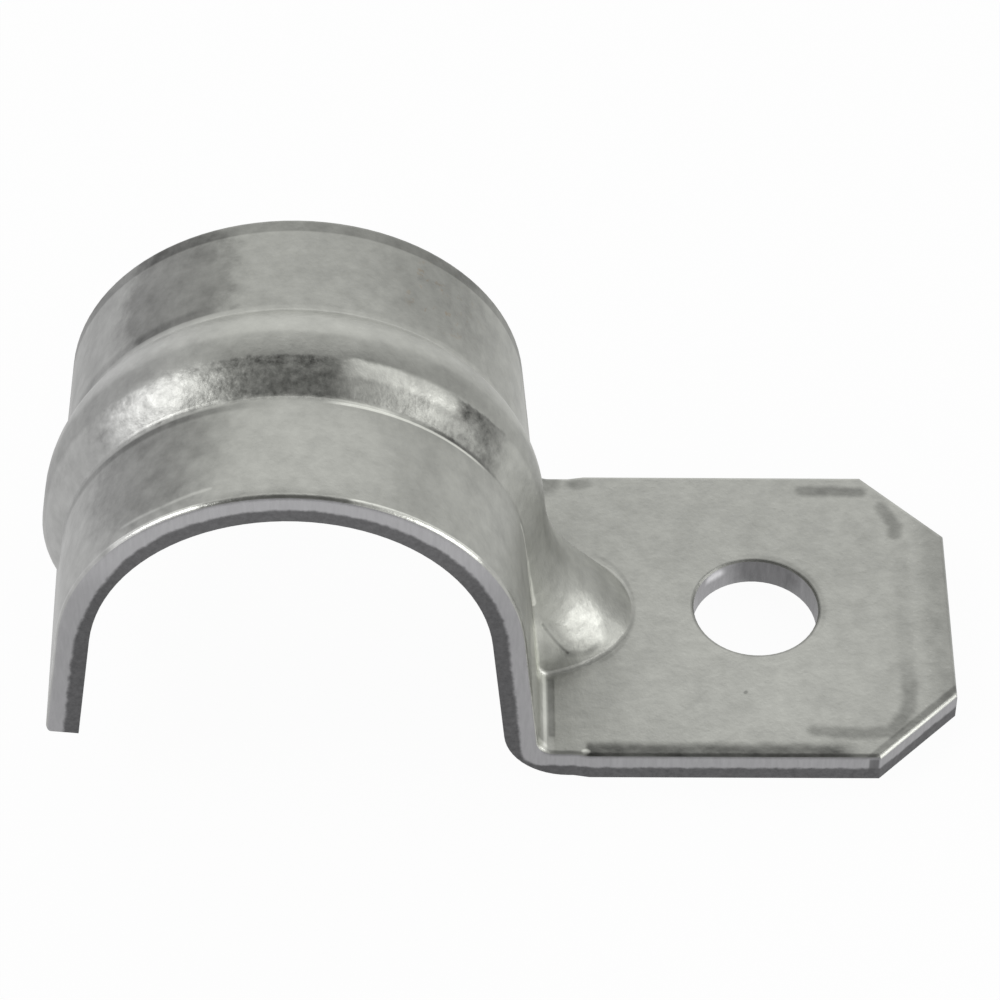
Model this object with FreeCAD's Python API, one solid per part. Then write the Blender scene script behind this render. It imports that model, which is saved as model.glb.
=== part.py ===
import FreeCAD, Part
import math
import os

Vector = FreeCAD.Vector

# One-hole strap for half-inch rigid steel conduit, pressed from one piece of sheet.
# Millimetres. X runs from the conduit to the foot, Y along the conduit and Z out of
# the wall. It is drawn about the conduit, on the wall at z = 0, and moved at the end
# so that the origin is the centre of the screw hole on the wall.

# ---- driving dimensions ----------------------------------------------------
seat_radius = 10.8            # inside of the saddle, round a 21.3 conduit
sheet_thickness = 1.8
strap_width = 20.6            # along the conduit
pinch = 1.0                   # saddle centre this much nearer the wall than its radius
free_leg_flare = 6.7          # degrees, outwards from upright
foot_leg_flare = 5.5          # degrees, outwards from upright
free_leg_gap = 3.4            # tip of the free leg to the wall
bend_radius = 0.9             # inside of the bend between leg and foot
bend_thinning = 0.9           # outside radius beyond inside radius plus sheet

foot_length = 23.2            # leg face to the end of the foot
foot_width = 20.9             # the blank is a little wider past the bend
foot_shoulder_start = 1.9     # leg face to where it begins to widen
foot_shoulder_run = 0.9       # length over which it widens
corner_cut = 4.5              # 45 degree corners at the end of the foot
screw_hole_diameter = 7.0
screw_hole_distance = 12.3    # leg face to hole centre
screw_hole_offset = 0.45      # off the middle of the width
screw_hole_rim = 0.1          # depth and width of the broken edge round it

rib_height = 1.1
rib_crown_radius = 5.0        # outside of the rib, across its length
rib_base_radius = 0.3         # hollow corner where the rib meets the strap
rib_offset = 0.2              # off the middle of the width
rib_stop = 2.7                # end of the rib to the tip of the free leg
gusset_run = 5.4              # leg face to the toe of the gusset, along the foot
gusset_slope = 46.0           # degrees, ramp of the gusset against the foot
gusset_crest_radius = 9.0     # hollow of the crest between leg and ramp
edge_roll = 0.3               # rounding of the outer edges, left by the punch

# ---- derived geometry, in the XZ plane --------------------------------------
along_y = Vector(0, 1, 0)
up = Vector(0, 0, 1)
conduit = up * (seat_radius - pinch)
outer_radius = seat_radius + sheet_thickness
deep = 4 * outer_radius       # well past every face that gets trimmed
wide = 2 * strap_width
touch = 1e-5                  # an edge this close to a skin lies on it


def tilted(angle):
    """Unit vector in XZ at this many degrees above +X."""
    turn = math.radians(angle)
    return Vector(math.cos(turn), 0, math.sin(turn))


foot_leg_out = tilted(foot_leg_flare)
foot_leg_down = tilted(foot_leg_flare - 90)
free_leg_out = tilted(180 - free_leg_flare)
free_leg_down = tilted(270 - free_leg_flare)


def meet(normal_a, value_a, normal_b, value_b):
    """Point of the XZ plane whose product with each normal has the given value."""
    det = normal_a.x * normal_b.z - normal_a.z * normal_b.x
    x = (value_a * normal_b.z - value_b * normal_a.z) / det
    z = (normal_a.x * value_b - normal_b.x * value_a) / det
    return Vector(x, 0, z)


def leg_value(offset):
    """Product with foot_leg_out of the foot leg's plane this far out from the seat."""
    return foot_leg_out.dot(conduit) + seat_radius + offset


leg_face = meet(foot_leg_out, leg_value(sheet_thickness), up, sheet_thickness)


def prism(points):
    """Closed outline in XZ, extruded across more than the strap's width."""
    face = Part.Face(Part.Wire(points))
    face.translate(along_y * (-wide / 2))
    return face.extrude(along_y * wide)


def strap_side(offset, bend):
    """Everything under the plain strap's skin that lies this far out from the seat."""
    radius = seat_radius + offset
    free_top = conduit + free_leg_out * radius
    foot_top = conduit + foot_leg_out * radius
    bend_centre = meet(foot_leg_out, leg_value(offset + bend), up, offset + bend)
    bend_on_leg = bend_centre - foot_leg_out * bend
    bend_middle = bend_centre - (foot_leg_out + up).normalize() * bend
    bend_on_foot = bend_centre - up * bend
    free_low = free_top + free_leg_down * deep
    far_top = Vector(leg_face.x + foot_length + deep, 0, offset)
    far_low = Vector(far_top.x, 0, free_low.z)
    return prism([
        Part.LineSegment(free_low, free_top).toShape(),
        Part.Arc(free_top, conduit + up * radius, foot_top).toShape(),
        Part.LineSegment(foot_top, bend_on_leg).toShape(),
        Part.Arc(bend_on_leg, bend_middle, bend_on_foot).toShape(),
        Part.LineSegment(bend_on_foot, far_top).toShape(),
        Part.LineSegment(far_top, far_low).toShape(),
        Part.LineSegment(far_low, free_low).toShape(),
    ])


# ---- rib: a round bar laid along the strap, bridging the bend as a gusset ------
bar_path_radius = outer_radius + rib_height - rib_crown_radius
ramp_out = tilted(90 - gusset_slope)
ramp_down = tilted(-gusset_slope)
gusset_toe = leg_face + Vector(gusset_run, 0, 0)
gusset_turn = 90 - gusset_slope - foot_leg_flare
turn_centre = meet(
    foot_leg_out,
    leg_value(sheet_thickness + rib_height + gusset_crest_radius),
    ramp_out,
    ramp_out.dot(gusset_toe) + gusset_crest_radius,
)
turn_radius = gusset_crest_radius + rib_crown_radius

# the rounded end of the rib reaches this far past the centre of its dome
dome_reach = math.sqrt(
    (rib_crown_radius + rib_base_radius) ** 2
    - (rib_crown_radius - rib_height + rib_base_radius) ** 2
)
free_leg_length = (
    (conduit + free_leg_out * seat_radius).z - free_leg_gap
) / -free_leg_down.z
rib_run = free_leg_length - rib_stop - dome_reach


def disc(centre, normal, radius):
    circle = Part.Circle(centre + along_y * rib_offset, normal, radius)
    return Part.Face(Part.Wire(circle.toShape()))


def rib_bar(radius):
    """Bar of this radius along the rib: saddle, both legs, gusset and rounded end."""
    foot_top = conduit + foot_leg_out * bar_path_radius
    free_top = conduit + free_leg_out * bar_path_radius
    turn_start = turn_centre - foot_leg_out * turn_radius
    turn_end = turn_centre - ramp_out * turn_radius
    dome_centre = free_top + free_leg_down * rib_run
    saddle_turn = 180 - foot_leg_flare - free_leg_flare
    on_foot_leg = disc(foot_top, foot_leg_down, radius)
    saddle = on_foot_leg.revolve(conduit, along_y, -saddle_turn)
    parts = [
        on_foot_leg.extrude(turn_start - foot_top),
        disc(turn_start, foot_leg_down, radius).revolve(turn_centre, along_y, -gusset_turn),
        disc(turn_end, ramp_down, radius).extrude(ramp_down * (2 * outer_radius)),
        disc(free_top, free_leg_down, radius).extrude(dome_centre - free_top),
        Part.makeSphere(radius, dome_centre + along_y * rib_offset),
    ]
    return saddle.multiFuse(parts).removeSplitter()


def on_both(edge, skin_a, skin_b):
    """True where the middle of the edge lies on both skins."""
    middle = Part.Vertex(edge.valueAt((edge.FirstParameter + edge.LastParameter) / 2))
    return all(middle.distToShape(skin)[0] < touch for skin in (skin_a, skin_b))


def pressed_side(plain, bar, base_radius):
    """Strap side with the rib pressed through it and its base corner rounded."""
    body = plain.fuse(bar)
    corner = [edge for edge in body.Edges if on_both(edge, plain.Shells[0], bar.Shells[0])]
    return body.makeFillet(base_radius, corner)


# ---- sheet: what lies between the two pressed sides ----------------------------
outside = pressed_side(
    strap_side(sheet_thickness, bend_radius),
    rib_bar(rib_crown_radius),
    rib_base_radius,
)
inside = pressed_side(
    strap_side(0, bend_radius + sheet_thickness + bend_thinning),
    rib_bar(rib_crown_radius - sheet_thickness),
    rib_base_radius + sheet_thickness,
)
sheet = outside.cut(inside)

# ---- blank: the outline that the sheet is trimmed to ---------------------------
shoulder_start = leg_face.x + foot_shoulder_start
shoulder_end = shoulder_start + foot_shoulder_run
foot_end = leg_face.x + foot_length
half_outline = [
    (-deep, strap_width / 2),
    (shoulder_start, strap_width / 2),
    (shoulder_end, foot_width / 2),
    (foot_end - corner_cut, foot_width / 2),
    (foot_end, foot_width / 2 - corner_cut),
]
outline = [Vector(x, y, -deep) for x, y in half_outline]
outline += [Vector(x, -y, -deep) for x, y in reversed(half_outline)]
blank = Part.Face(Part.makePolygon(outline + outline[:1])).extrude(up * (2 * deep))

tip = conduit + free_leg_out * seat_radius + free_leg_down * free_leg_length
past_tip = [
    tip - free_leg_out * sheet_thickness,
    tip + free_leg_out * (2 * sheet_thickness),
    tip + free_leg_out * (2 * sheet_thickness) + free_leg_down * deep,
    tip - free_leg_out * sheet_thickness + free_leg_down * deep,
]
blank = blank.cut(prism(Part.makePolygon(past_tip + past_tip[:1]).Edges))

# ---- strap: the trimmed sheet with its outer edges rounded over ----------------
strap = sheet.common(blank)
rolled = [edge for edge in strap.Edges if on_both(edge, outside.Shells[0], blank.Shells[0])]
strap = strap.makeFillet(edge_roll, rolled)

# ---- screw hole through the foot, its outer rim broken ---------------------------
hole_centre = Vector(leg_face.x + screw_hole_distance, screw_hole_offset, 0)
hole_radius = screw_hole_diameter / 2
hole = Part.makeCylinder(hole_radius, 2 * deep, hole_centre - up * deep)
rim_start = hole_centre + up * (sheet_thickness - screw_hole_rim)
rim = Part.makeCone(hole_radius, hole_radius + 2 * screw_hole_rim, 2 * screw_hole_rim, rim_start)
strap = strap.cut(hole.fuse(rim)).removeSplitter().Solids[0]
strap.translate(-hole_centre)

os.makedirs("parts", exist_ok=True)
strap.exportStep("parts/strap.step")
print("conduit centre", conduit - hole_centre)
print("strap", strap.isValid(), len(strap.Faces), strap.Volume)
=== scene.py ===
import math

import bpy
from mathutils import Matrix, Vector

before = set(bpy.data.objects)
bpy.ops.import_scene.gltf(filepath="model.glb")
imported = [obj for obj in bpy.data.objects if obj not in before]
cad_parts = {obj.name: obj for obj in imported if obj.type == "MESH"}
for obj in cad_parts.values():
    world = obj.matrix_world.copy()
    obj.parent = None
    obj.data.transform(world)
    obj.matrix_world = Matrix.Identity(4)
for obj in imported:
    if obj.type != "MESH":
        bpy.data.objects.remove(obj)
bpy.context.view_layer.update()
MM = 0.001

# ---- camera ---------------------------------------------------------------------
# A long lens above the open side of the saddle, a little off square to the conduit,
# and aimed so that the whole strap sits in the frame.
view_up = math.radians(47.5)
view_round = math.radians(-1.532)
view_roll = math.radians(1.41)
view_distance = 281.523 * MM
lens_length = 180.2916
sensor = 36
nearest_seen = 0.01
under_conduit = Vector((-25.7286, -0.45, 0)) * MM
# where under_conduit falls in the frame, in frame widths from the middle
aim_left = -0.202716
aim_down = 0.132043

back = Vector((
    math.sin(view_round) * math.cos(view_up),
    -math.cos(view_round) * math.cos(view_up),
    math.sin(view_up),
))
level = (-back).cross(Vector((0, 0, 1))).normalized()
upright = level.cross(-back)
right = level * math.cos(view_roll) + upright * math.sin(view_roll)
top = upright * math.cos(view_roll) - level * math.sin(view_roll)
per_frame = view_distance * sensor / lens_length
place = under_conduit + back * view_distance
place -= right * (aim_left * per_frame) - top * (aim_down * per_frame)

camera_data = bpy.data.cameras.new("view")
camera_data.lens = lens_length
camera_data.sensor_width = sensor
camera_data.clip_start = nearest_seen
camera = bpy.data.objects.new("view", camera_data)
camera.matrix_world = Matrix((
    (right.x, top.x, back.x, place.x),
    (right.y, top.y, back.y, place.y),
    (right.z, top.z, back.z, place.z),
    (0, 0, 0, 1),
))
bpy.context.scene.collection.objects.link(camera)
bpy.context.scene.camera = camera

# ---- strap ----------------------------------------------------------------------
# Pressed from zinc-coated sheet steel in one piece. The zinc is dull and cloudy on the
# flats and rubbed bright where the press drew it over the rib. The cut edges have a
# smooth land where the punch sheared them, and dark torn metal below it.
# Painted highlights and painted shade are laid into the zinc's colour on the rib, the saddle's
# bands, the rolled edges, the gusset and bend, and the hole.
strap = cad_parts["strap"]

# sizes and places in millimetres from the middle of the screw hole on the wall
conduit_x = -25.7286
conduit_z = 9.8
middle_y = -0.45
seat_radius = 10.8
sheet = 1.8
half_width = 10.3
foot_leg_flare = math.radians(5.5)
free_leg_flare = math.radians(6.7)
rib_y = 0.2                   # off the middle of the width
rib_edge = 3.5                # half the rib's width, at its base
hole_radius = 3.5
land_depth = 0.93             # how deep the punch sheared before the metal tore

zinc = bpy.data.materials.new("zinc_coated_steel")
zinc.use_nodes = True
tree = zinc.node_tree
shader = tree.nodes["Principled BSDF"]


def feed(socket, given):
    """Gives a node's input a fixed number or place, or links one that varies."""
    if isinstance(given, Value):
        tree.links.new(given.socket, socket)
    elif isinstance(given, bpy.types.NodeSocket):
        tree.links.new(given, socket)
    else:
        socket.default_value = given


class Value:
    """A number that varies over the metal, with ordinary arithmetic."""

    def __init__(self, socket):
        self.socket = socket

    def step(self, operation, *others, clamp=False):
        node = tree.nodes.new("ShaderNodeMath")
        node.operation = operation
        node.use_clamp = clamp
        for slot, given in enumerate((self, *others)):
            feed(node.inputs[slot], given)
        return Value(node.outputs[0])

    def __add__(self, other):
        return self.step("ADD", other)

    def __sub__(self, other):
        return self.step("SUBTRACT", other)

    def __mul__(self, other):
        return self.step("MULTIPLY", other)

    def size(self):
        return self.step("ABSOLUTE")

    def at_least(self, low):
        return self.step("MAXIMUM", low)

    def at_most(self, high):
        return self.step("MINIMUM", high)

    def inverse(self):
        """0 where this is 1, and 1 where it is 0."""
        return self.step("MULTIPLY_ADD", -1, 1)

    def above(self, low, high):
        """0 under low, 1 over high and a smooth rise between."""
        node = tree.nodes.new("ShaderNodeMapRange")
        node.interpolation_type = "SMOOTHSTEP"
        feed(node.inputs["Value"], self)
        feed(node.inputs["From Min"], low)
        feed(node.inputs["From Max"], high)
        return Value(node.outputs["Result"])

    def below(self, low, high):
        return self.above(low, high).inverse()

    def positive(self):
        return self.above(-0.01, 0.01)

    def near(self, centre, width, soft):
        """1 within width of centre, falling to 0 over the soft margin."""
        return (self - centre).size().below(width, width + soft)

    def mix(self, other, share):
        """This value, with the given share of the other."""
        if not isinstance(other, Value):
            node = tree.nodes.new("ShaderNodeValue")
            node.outputs[0].default_value = other
            other = Value(node.outputs[0])
        return self + (other - self) * share


def vector_step(operation, first, second=None, scale=None):
    """Node that works on one or two places, each fixed or varying."""
    node = tree.nodes.new("ShaderNodeVectorMath")
    node.operation = operation
    feed(node.inputs[0], first)
    if second is not None:
        feed(node.inputs[1], second)
    if scale is not None:
        feed(node.inputs["Scale"], scale)
    return node


def parts_of(place_or_direction):
    node = tree.nodes.new("ShaderNodeSeparateXYZ")
    feed(node.inputs[0], place_or_direction)
    return [Value(out) for out in node.outputs]


def distance_from_axis(across, along):
    """Distance from an axis, of a point this far from it each way."""
    return (across.step("POWER", 2) + along.step("POWER", 2)).step("SQRT")


coordinates = tree.nodes.new("ShaderNodeTexCoord")
in_mm = vector_step("SCALE", coordinates.outputs["Object"], scale=1 / MM).outputs[0]
x, y, z = parts_of(in_mm)
surface = tree.nodes.new("ShaderNodeNewGeometry")
_, face_y, face_z = parts_of(surface.outputs["True Normal"])


def measured_from(centre, reach, kind="TEXTURE"):
    """Places measured from this centre, in steps of this reach each way."""
    node = tree.nodes.new("ShaderNodeMapping")
    node.vector_type = kind
    node.inputs["Location"].default_value = centre
    node.inputs["Scale"].default_value = reach
    tree.links.new(in_mm, node.inputs["Vector"])
    return node.outputs[0]


def cloud(grain, detail=3, rough=0.55, stretch=(1, 1, 1), seed=0.0):
    """Soft noise whose lumps are about this many millimetres."""
    node = tree.nodes.new("ShaderNodeTexNoise")
    node.inputs["Scale"].default_value = 1 / grain
    node.inputs["Detail"].default_value = detail
    node.inputs["Roughness"].default_value = rough
    shifted = measured_from((seed, seed, seed), stretch, kind="POINT")
    tree.links.new(shifted, node.inputs["Vector"])
    return Value(node.outputs["Fac"])


def crazing(grain, seed):
    """1 on the fine cracks of a crazed coat whose flakes are about this many millimetres."""
    node = tree.nodes.new("ShaderNodeTexVoronoi")
    node.feature = "DISTANCE_TO_EDGE"
    node.inputs["Scale"].default_value = 1 / grain
    shifted = measured_from((seed, seed, seed), (1, 1, 1), kind="POINT")
    tree.links.new(shifted, node.inputs["Vector"])
    return Value(node.outputs["Distance"]).below(0.02, 0.15)


blotches = cloud(2.2, 4, 0.6)
patches = cloud(0.9, 3, 0.6, seed=5.0)
fine = cloud(0.28, 3, 0.6, seed=7.0)
specks = cloud(0.5, 4, 0.75, seed=23.0)
flakes = cloud(0.42, 2, 0.5, seed=41.0)
ragged_edge = cloud(0.8, 3, 0.6, seed=11.0)
wander = ragged_edge - 0.5


def blob(centre, reach, soft=0.5, ragged=0.0):
    """1 inside an egg of this reach each way, fading out over the soft share."""
    away = vector_step("LENGTH", measured_from(centre, reach))
    distance = Value(away.outputs["Value"])
    if ragged:
        distance = distance + wander * ragged
    return distance.below(1 - soft / 2, 1 + soft / 2)


def from_line(*points):
    """Distance from a chain of straight runs through these points."""
    nearest = None
    for start, end in zip(points, points[1:]):
        run = Vector(end) - Vector(start)
        offset = vector_step("SUBTRACT", in_mm, Vector(start)).outputs[0]
        along = vector_step("DOT_PRODUCT", offset, run / run.length_squared)
        share = Value(along.outputs["Value"]).step("ADD", 0, clamp=True)
        on_run = vector_step("SCALE", run, scale=share).outputs[0]
        distance = Value(vector_step("DISTANCE", offset, on_run).outputs["Value"])
        nearest = nearest.at_most(distance) if nearest else distance
    return nearest


def from_foot_line(*points):
    """Distance from a chain of straight runs drawn on top of the foot."""
    return from_line(*[(along, across, sheet) for along, across in points])


def marked(plain, *marks, within=None):
    """The plain shade, made this much lighter at each mark, or darker if negative."""
    for mark, lighter in marks:
        if within:
            mark = mark * within
        plain = plain + mark * lighter
    return plain


# how deep a point lies in the sheet, under the outer skin of the legs, saddle and foot
from_middle = y - middle_y
out_x = x - conduit_x
out_z = z - conduit_z
foot_side = out_x.positive()


def leg_out(flare, side):
    """Distance out from the conduit's axis, square to a leg, and the mask of that leg."""
    square = out_x * (side * math.cos(flare)) + out_z * math.sin(flare)
    along = out_x * (-side * math.sin(flare)) + out_z * math.cos(flare)
    return square, along.positive().inverse()


foot_leg_out, on_foot_leg = leg_out(foot_leg_flare, 1)
free_leg_out, on_free_leg = leg_out(free_leg_flare, -1)
out = distance_from_axis(out_x, out_z)
out = out.mix(foot_leg_out, on_foot_leg * foot_side)
out = out.mix(free_leg_out, on_free_leg * foot_side.inverse())
under_skin = (out * -1 + (seat_radius + sheet)).at_least(0)
under_foot = (z * -1 + sheet).at_least(0) * foot_side
depth = distance_from_axis(under_skin, under_foot)

# which faces the punch cut, and where it tore them
standing = face_z.size().below(0.3, 0.5)
side_cut = from_middle.size().above(half_width - 0.4, half_width - 0.38)
side_cut = side_cut * face_y.size().above(0.7, 0.8)
end_cut = x.above(4.2, 4.3) * standing
from_hole = distance_from_axis(x, y)
hole_cut = from_hole.below(hole_radius + 0.4, hole_radius + 0.5) * standing
tip_cut = x.below(-36, -35.9) * z.below(4.5, 4.6) * face_z.below(-0.8, -0.7)
cut = (side_cut + end_cut + hole_cut + tip_cut).at_most(1)
wide_land = x.below(-37.0, -32.0) * z.above(9.0, 15.0)
sheared = depth + cloud(0.5) * 0.3 - wide_land * 0.3
torn = (cut - hole_cut) * sheared.above(land_depth + 0.05, land_depth + 0.3)
outer_skin = depth.below(0.3, 0.45) * cut.inverse()
on_saddle = z.above(5.5, 7.5) * outer_skin

# plain zinc, cloudy all over
shade = blotches * 0.22 + patches * 0.17 + fine * 0.05 + 0.23

# rib: a dull crest, a clean back and a front flank that the die has rubbed
across_rib = from_middle - rib_y
crest = across_rib.near(-0.35, 0.55, 0.5) * on_saddle
back_flank = across_rib.above(0.5, 1.1) * across_rib.below(rib_edge - 0.3, rib_edge) * on_saddle
flank = across_rib.above(-rib_edge, 0.15 - rib_edge) * (across_rib + wander * 0.5).below(-1.2, -1.0)
flank = flank * on_saddle * z.above(12.0, 15.5)
shade = marked(shade, (crest, -0.07), (back_flank, 0.025))

top_of_arch = blob((-26.9, -2.5, 23.0), (4.1, 3.0, 3.5), 0.8, 0.6)
shade = shade.mix(specks * 0.75 + 0.02, flank * top_of_arch)
die_line = across_rib.near(-1.4, 0.12, 0.3) * top_of_arch * on_saddle
shade = marked(shade, (die_line * ragged_edge, -0.3))
speckled_end = blob((-18.6, -2.8, 20.2), (4.4, 2.2, 4.0), 0.8, 0.6)
shade = shade.mix(specks * 0.4 + patches * 0.55 - 0.07, flank * speckled_end * 0.75)

burnished = flank * blob((-32.6, -2.3, 21.0), (4.4, 2.4, 4.2), 0.8, 0.5)
# painted shade at the right end of the flank; painted light in a patch above it, in the glare line
# and along the rib's front corner
painted_shade_end = flank * blob((-16.4, -2.6, 18.3), (2.3, 2.4, 2.6), 0.9, 0.6)
painted_light_patch = flank * blob((-21.3, -2.6, 22.1), (1.8, 2.4, 2.2), 0.9, 0.5)
glare_line = across_rib.near(-1.55, 0.3, 0.35) * x.near(-19.9, 2.2, 1.4) * on_saddle
painted_highlight_corner = across_rib.near(-rib_edge, 0.05, 0.08) * x.near(-19.6, 3.0, 1.6) * on_saddle
shade = marked(
    shade,
    (burnished * (patches * 0.6 + flakes * 0.4 - 0.42), 0.75),
    (burnished * crazing(0.7, 2.0), -0.04),
    (painted_shade_end, -0.23),
    (painted_light_patch, 0.27),
    (glare_line, 0.25),
    (painted_highlight_corner, 0.42),
)
back_shadow = across_rib.near(rib_edge + 0.25, 0.15, 0.4) * x.below(-31.5, -28.5) * z.above(12, 16)
die_shadow = across_rib.near(-rib_edge - 0.22, 0.1, 0.25) * x.below(-29.0, -26.0) * z.above(9, 17)
shade = marked(shade, (back_shadow, -0.08), (die_shadow, -0.1), within=outer_skin)

# flat bands of the saddle on both sides of the rib, with painted shade behind the rib, on the
# sloping sides of the bands, at the far left end and near the foot leg, and a painted lighter patch
# on top of the front band
behind_rib = across_rib.above(rib_edge - 0.05, rib_edge + 0.1) * on_saddle
ahead_of_rib = across_rib.below(-rib_edge - 0.1, 0.05 - rib_edge) * on_saddle
shade = marked(
    shade,
    (behind_rib, -0.035),
    (blob((-32.1, 6.0, 20.5), (3.4, 4.6, 4.5), 0.6, 0.7) * behind_rib, -0.15),
    (blob((-18.0, 7.0, 20.0), (4.2, 3.2, 3.5), 0.9, 0.6) * behind_rib, -0.06),
    (blob((-33.0, -6.4, 20.0), (4.2, 4.0, 4.5), 0.8, 0.6) * ahead_of_rib, -0.16),
    (blob((-24.5, -7.0, 22.4), (5.5, 3.6, 3.5), 0.8, 0.5) * ahead_of_rib, 0.055),
    (x.below(-37.0, -34.5) * outer_skin, -0.06),
    (x.near(-14.6, 1.2, 1.5) * z.above(9, 12) * outer_skin, -0.035),
)

# rolled edges of the saddle: painted shade on the back roll, painted highlights in runs along the
# front roll with a painted shade run between them, and a rubbed streak
back_roll = from_middle.above(9.25, 9.4)
arch_roll = from_middle.below(-10.0, -9.88) * on_saddle
painted_highlight_runs = (x.near(-32.7, 1.9, 0.9) + x.near(-19.1, 3.1, 0.5)).at_most(1)
painted_shade_run = from_middle.below(-9.9, -9.45) * x.near(-26.3, 2.8, 1.0)
rubbed_streak = from_line((-34.6, -9.7, 18.9), (-32.4, -9.75, 20.6), (-29.8, -9.5, 21.8))
shade = marked(
    shade,
    (back_roll * on_saddle, -0.13),
    (painted_highlight_runs * arch_roll, 0.42),
    (painted_shade_run * on_saddle, -0.08),
    (rubbed_streak.below(0.03, 0.18) * outer_skin, 0.14),
)

# rolled edge of the foot: a dark strip of painted shade with scuffs, painted highlight spots where
# the blank widens, and a painted highlight line with a painted shade line inside it along the front
# clipped corner
strip_run = (x + ragged_edge * 0.4).above(-9.7, -9.4) * (x + ragged_edge * 0.6).below(4.2, 6.2)
front_strip = (from_middle + ragged_edge * 0.3).below(-9.75, -9.05) * strip_run * outer_skin
scuffs_and_painted_shade = cloud(0.7, 3, 0.55, stretch=(0.6, 1, 1), seed=61.0)
shade = shade.mix(scuffs_and_painted_shade * 0.4 - 0.08, front_strip * 0.9)
painted_widening_highlights = (
    blob((-9.75, -10.55, 1.75), (0.22, 0.16, 0.3), 0.8, 0.5)
    + blob((-12.15, -10.3, 2.2), (0.4, 0.3, 0.4), 0.8, 0.5)
).at_most(1)
past_corner = (x - y - 17.3) * math.sqrt(0.5)
shade = marked(
    shade,
    (painted_widening_highlights, 0.35),
    (past_corner.near(-0.09, 0.07, 0.08), 0.22),
    (past_corner.near(-0.42, 0.08, 0.18), -0.16),
    within=outer_skin,
)

# punch marks, pit and end of the foot, and painted shade on the rolled rim of its hole
on_foot = x.above(-8.5, -6.5)
pad_line = from_foot_line(
    (8.4, 5.0), (8.25, -4.5), (8.2, -7.1), (7.6, -8.4), (7.0, -9.1), (5.0, -9.2), (2.9, -9.0),
)
pad_depth = y.below(-6.5, -3.5) * 0.8 + 0.2
corner_line = from_foot_line((7.5, 7.6), (8.2, 6.2), (8.1, 5.5))
back_line = from_foot_line((3.0, 8.85), (6.3, 8.8))
pit = from_foot_line((-0.8, -6.25), (-0.85, -6.3))
hole_roll_shade = from_hole.near(hole_radius + 0.2, 0.1, 0.3) * (x + y * 0.8).above(1.5, 3.5)
shade = marked(
    shade,
    (on_foot, 0.012),
    (blob((-1.0, -5.0, sheet), (7.5, 6.5, 3.0), 1.0) * on_foot, 0.05),
    ((pad_line + ragged_edge * 0.4).below(0.35, 0.85) * pad_depth, -0.16),
    ((corner_line + ragged_edge * 0.3).below(0.3, 0.75), -0.16),
    ((back_line + ragged_edge * 0.3).below(0.3, 0.75), -0.19),
    ((x + ragged_edge * 0.8).above(9.3, 10.6), -0.085),
    (flakes.above(0.63, 0.72) * x.near(9.1, 0.4, 0.4), 0.05),
    (pit.below(0.05, 0.15), -0.2),
    (hole_roll_shade, -0.09),
    within=outer_skin,
)

# gusset and bend: painted shade along the toe's outline, in the crease beside the worn ball,
# under the ball, in the nook and across the bend, and painted highlights on the ball, the bend
# line, the leg's hollow corner, a facet and the low foot leg
toe_reach = vector_step("LENGTH", measured_from((-10.2, -0.15, 0), (3.35, 4.3, 1000)))
toe_outline_shade = (Value(toe_reach.outputs["Value"]) - 1).size().below(0.01, 0.05)
toe_outline_shade = toe_outline_shade * x.above(-9.2, -8.4) * x.below(-5, -4.5) * z.below(2.2, 2.6)
bend_shadow = x.near(-11.6, 0.12, 0.14) * y.above(-9.7, -9.4) * y.below(-5.5, -5.2)
bend_light = x.near(-11.97, 0.05, 0.09) * y.above(-10.5, -10.2) * y.below(-5.2, -4.9)
leg_corner_highlight = from_line(
    (-13.43, -3.65, 12.5), (-13.0, -3.45, 9.2), (-12.79, -3.64, 7.4), (-12.6, -3.85, 6.4),
)
crease_shade = from_line(
    (-12.1, -4.08, 4.9), (-11.75, -4.12, 4.25), (-11.4, -4.2, 3.7), (-11.0, -4.25, 3.15),
    (-10.65, -4.28, 2.75),
)
shade_under_ball = from_line((-10.66, -4.29, 2.7), (-9.55, -3.9, 2.3), (-8.9, -3.3, 2.4))
worn_ball_and_highlight = blob((-9.9, -2.9, 3.6), (1.4, 1.7, 1.6), 0.9, 0.6) * outer_skin
nook_shade = (
    blob((-11.7, 9.7, 2.2), (0.9, 1.3, 1.0), 0.6, 0.5)
    + blob((-9.8, 9.3, 1.8), (0.7, 0.4, 0.6), 1.0, 0.5)
).at_most(1)
shade = marked(
    shade,
    (toe_outline_shade, -0.07),
    (bend_shadow, -0.17),
    (bend_light, 0.25),
    (leg_corner_highlight.below(0.07, 0.24), 0.3),
    ((crease_shade + wander * 0.12).below(0.01, 0.14), -0.18),
    (shade_under_ball.below(0.05, 0.3), -0.13),
    # painted light on a facet below the crease, and low on the foot leg
    (blob((-12.1, -4.7, 3.8), (1.1, 0.8, 2.0), 0.6, 0.4), 0.2),
    (blob((-12.6, -7.5, 4.0), (0.8, 3.6, 3.6), 0.6, 0.3), 0.22),
    (nook_shade, -0.14),
    within=outer_skin,
)
# painted highlight on the worn ball, with cloudy wear in it
shade = marked(shade, (worn_ball_and_highlight * (patches * 0.5 - 0.12), 1))

# cut faces: a smooth sheared land, then torn metal down to the burr
striae = cloud(0.22, 3, 0.6, stretch=(1, 1, 0.15), seed=31.0)
on_arch = z.above(14.0, 18.0)
land = striae * 0.12 + 0.30 + on_arch * 0.08
notch = x.near(6.05, 0.2, 0.15) * z.below(1.5, 1.7)
shade = shade.mix(land - notch * 0.2, cut)
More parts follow.
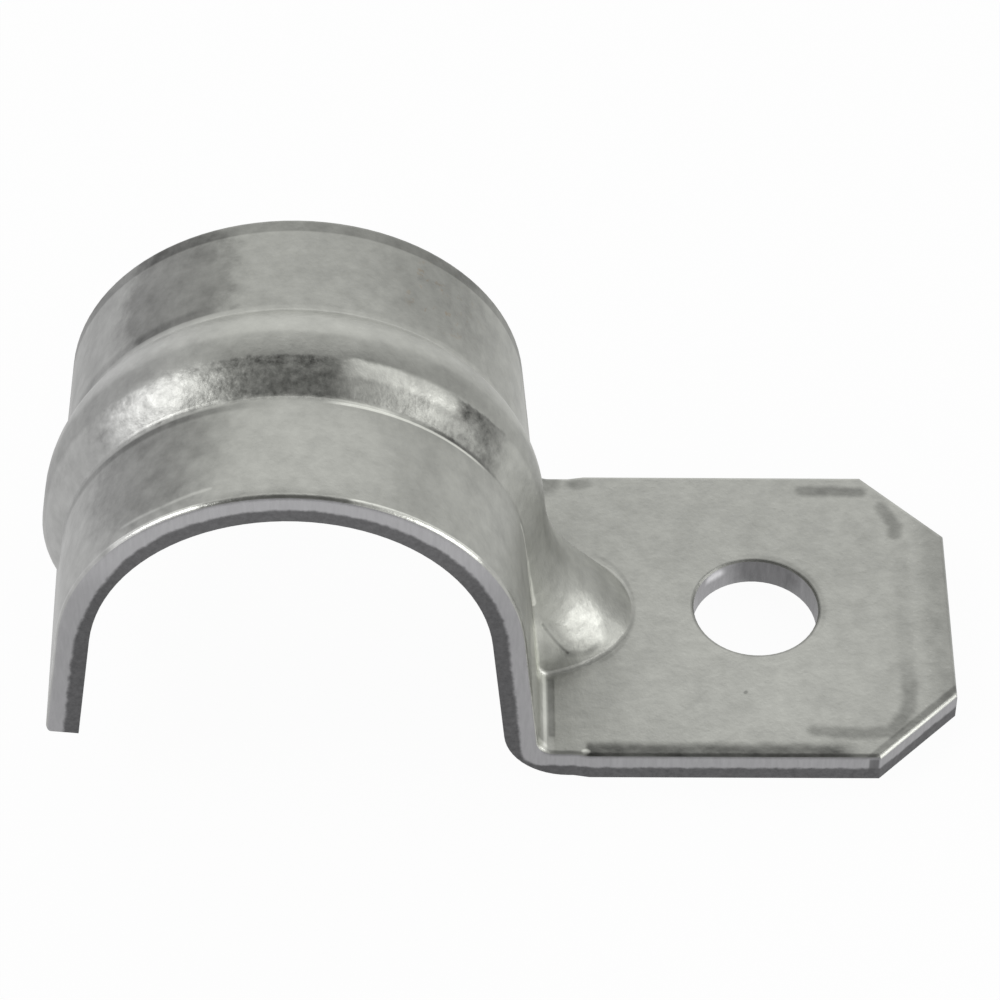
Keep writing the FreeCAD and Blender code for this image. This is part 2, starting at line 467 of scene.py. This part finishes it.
# painted shade on the hole's far wall and right side, a painted glint on its left wall, and painted
# shade along its broken rim
hole_shadow = hole_cut * blob((0.9, 3.5, 1.3), (2.0, 1.5, 2.5), 0.8, 0.4)
glint = from_line((-2.5, 2.45, 1.35), (-1.9, 2.93, 1.3)) + ragged_edge * 0.4
broken_rim_shade = from_hole.below(hole_radius + 0.12, hole_radius + 0.22)
shade = marked(
    shade,
    (hole_shadow, -0.17),
    (hole_cut * x.above(1.5, 3.2), -0.1),
    (hole_cut * glint.below(0.15, 0.75), 0.4),
    (broken_rim_shade * z.above(1.68, 1.72), -0.15),
)
torn_metal = cloud(0.3, 3, 0.7, seed=3.0) * 0.15 + 0.10 + on_arch * 0.04
shade = shade.mix(torn_metal, torn).at_least(0.03)


def tinted(tint):
    """The shade as a colour with this tint."""
    node = tree.nodes.new("ShaderNodeCombineColor")
    for slot, share in enumerate(tint):
        feed(node.inputs[slot], shade * share)
    return node.outputs[0]


def blended(first, second, share):
    node = tree.nodes.new("ShaderNodeMix")
    node.data_type = "RGBA"
    feed(node.inputs["Factor"], share)
    feed(node.inputs["A"], first)
    feed(node.inputs["B"], second)
    return node.outputs["Result"]


# colour: warm zinc, greyer on the free leg, with faint brown stains behind the rib
warm_zinc = tinted((1.0, 1.01, 0.94))
grey_zinc = tinted((1.0, 1.0, 0.985))
brown_stain = tinted((0.95, 0.86, 0.72))
cut_steel = tinted((1.0, 0.993, 1.015))
stains = cloud(0.6, 3, 0.6, seed=51.0).above(0.58, 0.68) * behind_rib
stains = stains * blob((-17.6, 6.6, 19.5), (2.6, 2.4, 2.6), 0.8)
skin_colour = blended(warm_zinc, grey_zinc, x.below(-36.5, -28.0))
skin_colour = blended(skin_colour, brown_stain, stains)
feed(shader.inputs["Base Color"], blended(skin_colour, cut_steel, cut))
shader.inputs["Metallic"].default_value = 1.0

# polish: smoothest where it was rubbed, roughest where it tore
roughness = blotches * 0.15 + fine * 0.1 + 0.34
for polish, rubbed in [
    (specks * 0.2 + 0.31, flank),
    (flakes * 0.2 + 0.32, burnished),
    (0.4, worn_ball_and_highlight),
    (0.3, arch_roll),
    (0.5, cut),
    (0.75, torn),
]:
    roughness = roughness.mix(polish, rubbed)
feed(shader.inputs["Roughness"], roughness)

height = blotches * 0.035 + patches * 0.03 + specks * 0.01 + striae * 0.01
bump = tree.nodes.new("ShaderNodeBump")
bump.inputs["Distance"].default_value = MM
feed(bump.inputs["Height"], height)
feed(shader.inputs["Normal"], bump.outputs[0])

strap.data.materials.clear()
strap.data.materials.append(zinc)

# ---- floor and light ------------------------------------------------------------
# A flat white sheet that the strap lies on, in a soft white room with a bright back
# wall and a dim ceiling. Two soft lamps stand low on the left and on the right.
floor_half = 1.5
floor_drop = 0.0002
floor_mesh = bpy.data.meshes.new("floor")
floor_mesh.from_pydata(
    [(-floor_half, -floor_half, 0), (floor_half, -floor_half, 0),
     (floor_half, floor_half, 0), (-floor_half, floor_half, 0)],
    [], [(0, 1, 2, 3)])
floor = bpy.data.objects.new("floor", floor_mesh)
floor.location.z = -floor_drop
bpy.context.scene.collection.objects.link(floor)

white = bpy.data.materials.new("white_sheet")
white.use_nodes = True
tree = white.node_tree
sheet_shader = tree.nodes["Principled BSDF"]
sheet_shader.inputs["Base Color"].default_value = (0.95, 0.95, 0.95, 1)
sheet_shader.inputs["Roughness"].default_value = 0.9
glow = tree.nodes.new("ShaderNodeEmission")
glow.inputs["Color"].default_value = (1, 1, 1, 1)
glow.inputs["Strength"].default_value = 1.0

# the lens and the bright metal see it glow, and its remaining share takes the shadow
glow_share = 0.96
rays = tree.nodes.new("ShaderNodeLightPath")
seen = Value(rays.outputs["Is Camera Ray"])
for kind in ("Is Glossy Ray", "Is Transmission Ray"):
    seen = seen.step("MAXIMUM", rays.outputs[kind])
blend = tree.nodes.new("ShaderNodeMixShader")
feed(blend.inputs[0], seen * glow_share)
feed(blend.inputs[1], sheet_shader.outputs[0])
feed(blend.inputs[2], glow.outputs[0])
feed(tree.nodes["Material Output"].inputs["Surface"], blend.outputs[0])
floor_mesh.materials.append(white)

world = bpy.data.worlds.new("studio")
world.use_nodes = True
tree = world.node_tree
background = tree.nodes["Background"]
room = tree.nodes.new("ShaderNodeTexCoord")


def toward(direction, low, high):
    """1 where the room is seen in this direction, falling smoothly to 0 away from it."""
    facing = vector_step("DOT_PRODUCT", room.outputs["Generated"], Vector(direction).normalized())
    return Value(facing.outputs["Value"]).above(low, high)


back_wall = toward((0, 0.92, 0.4), 0.6, 0.95)
ceiling = toward((0, -0.35, 0.94), 0.55, 0.95)
feed(background.inputs["Strength"], back_wall * 0.58 - ceiling * 0.38 + 0.56)
background.inputs["Color"].default_value = (1, 1, 1, 1)
bpy.context.scene.world = world
bpy.context.scene.view_settings.view_transform = "Standard"

lamp_aim = Vector((-0.02, 0, 0.01))


def softbox(name, stand, width, height, watts):
    data = bpy.data.lights.new(name, "AREA")
    data.shape = "RECTANGLE"
    data.size = width
    data.size_y = height
    data.energy = watts
    lamp = bpy.data.objects.new(name, data)
    lamp.location = stand
    lamp.rotation_euler = (lamp_aim - Vector(stand)).to_track_quat("-Z", "Y").to_euler()
    bpy.context.scene.collection.objects.link(lamp)


softbox("left_box", (-0.50, -0.03, 0.36), width=0.34, height=0.26, watts=0.95)
softbox("right_box", (0.55, -0.1, 0.22), width=0.4, height=0.3, watts=0.9)
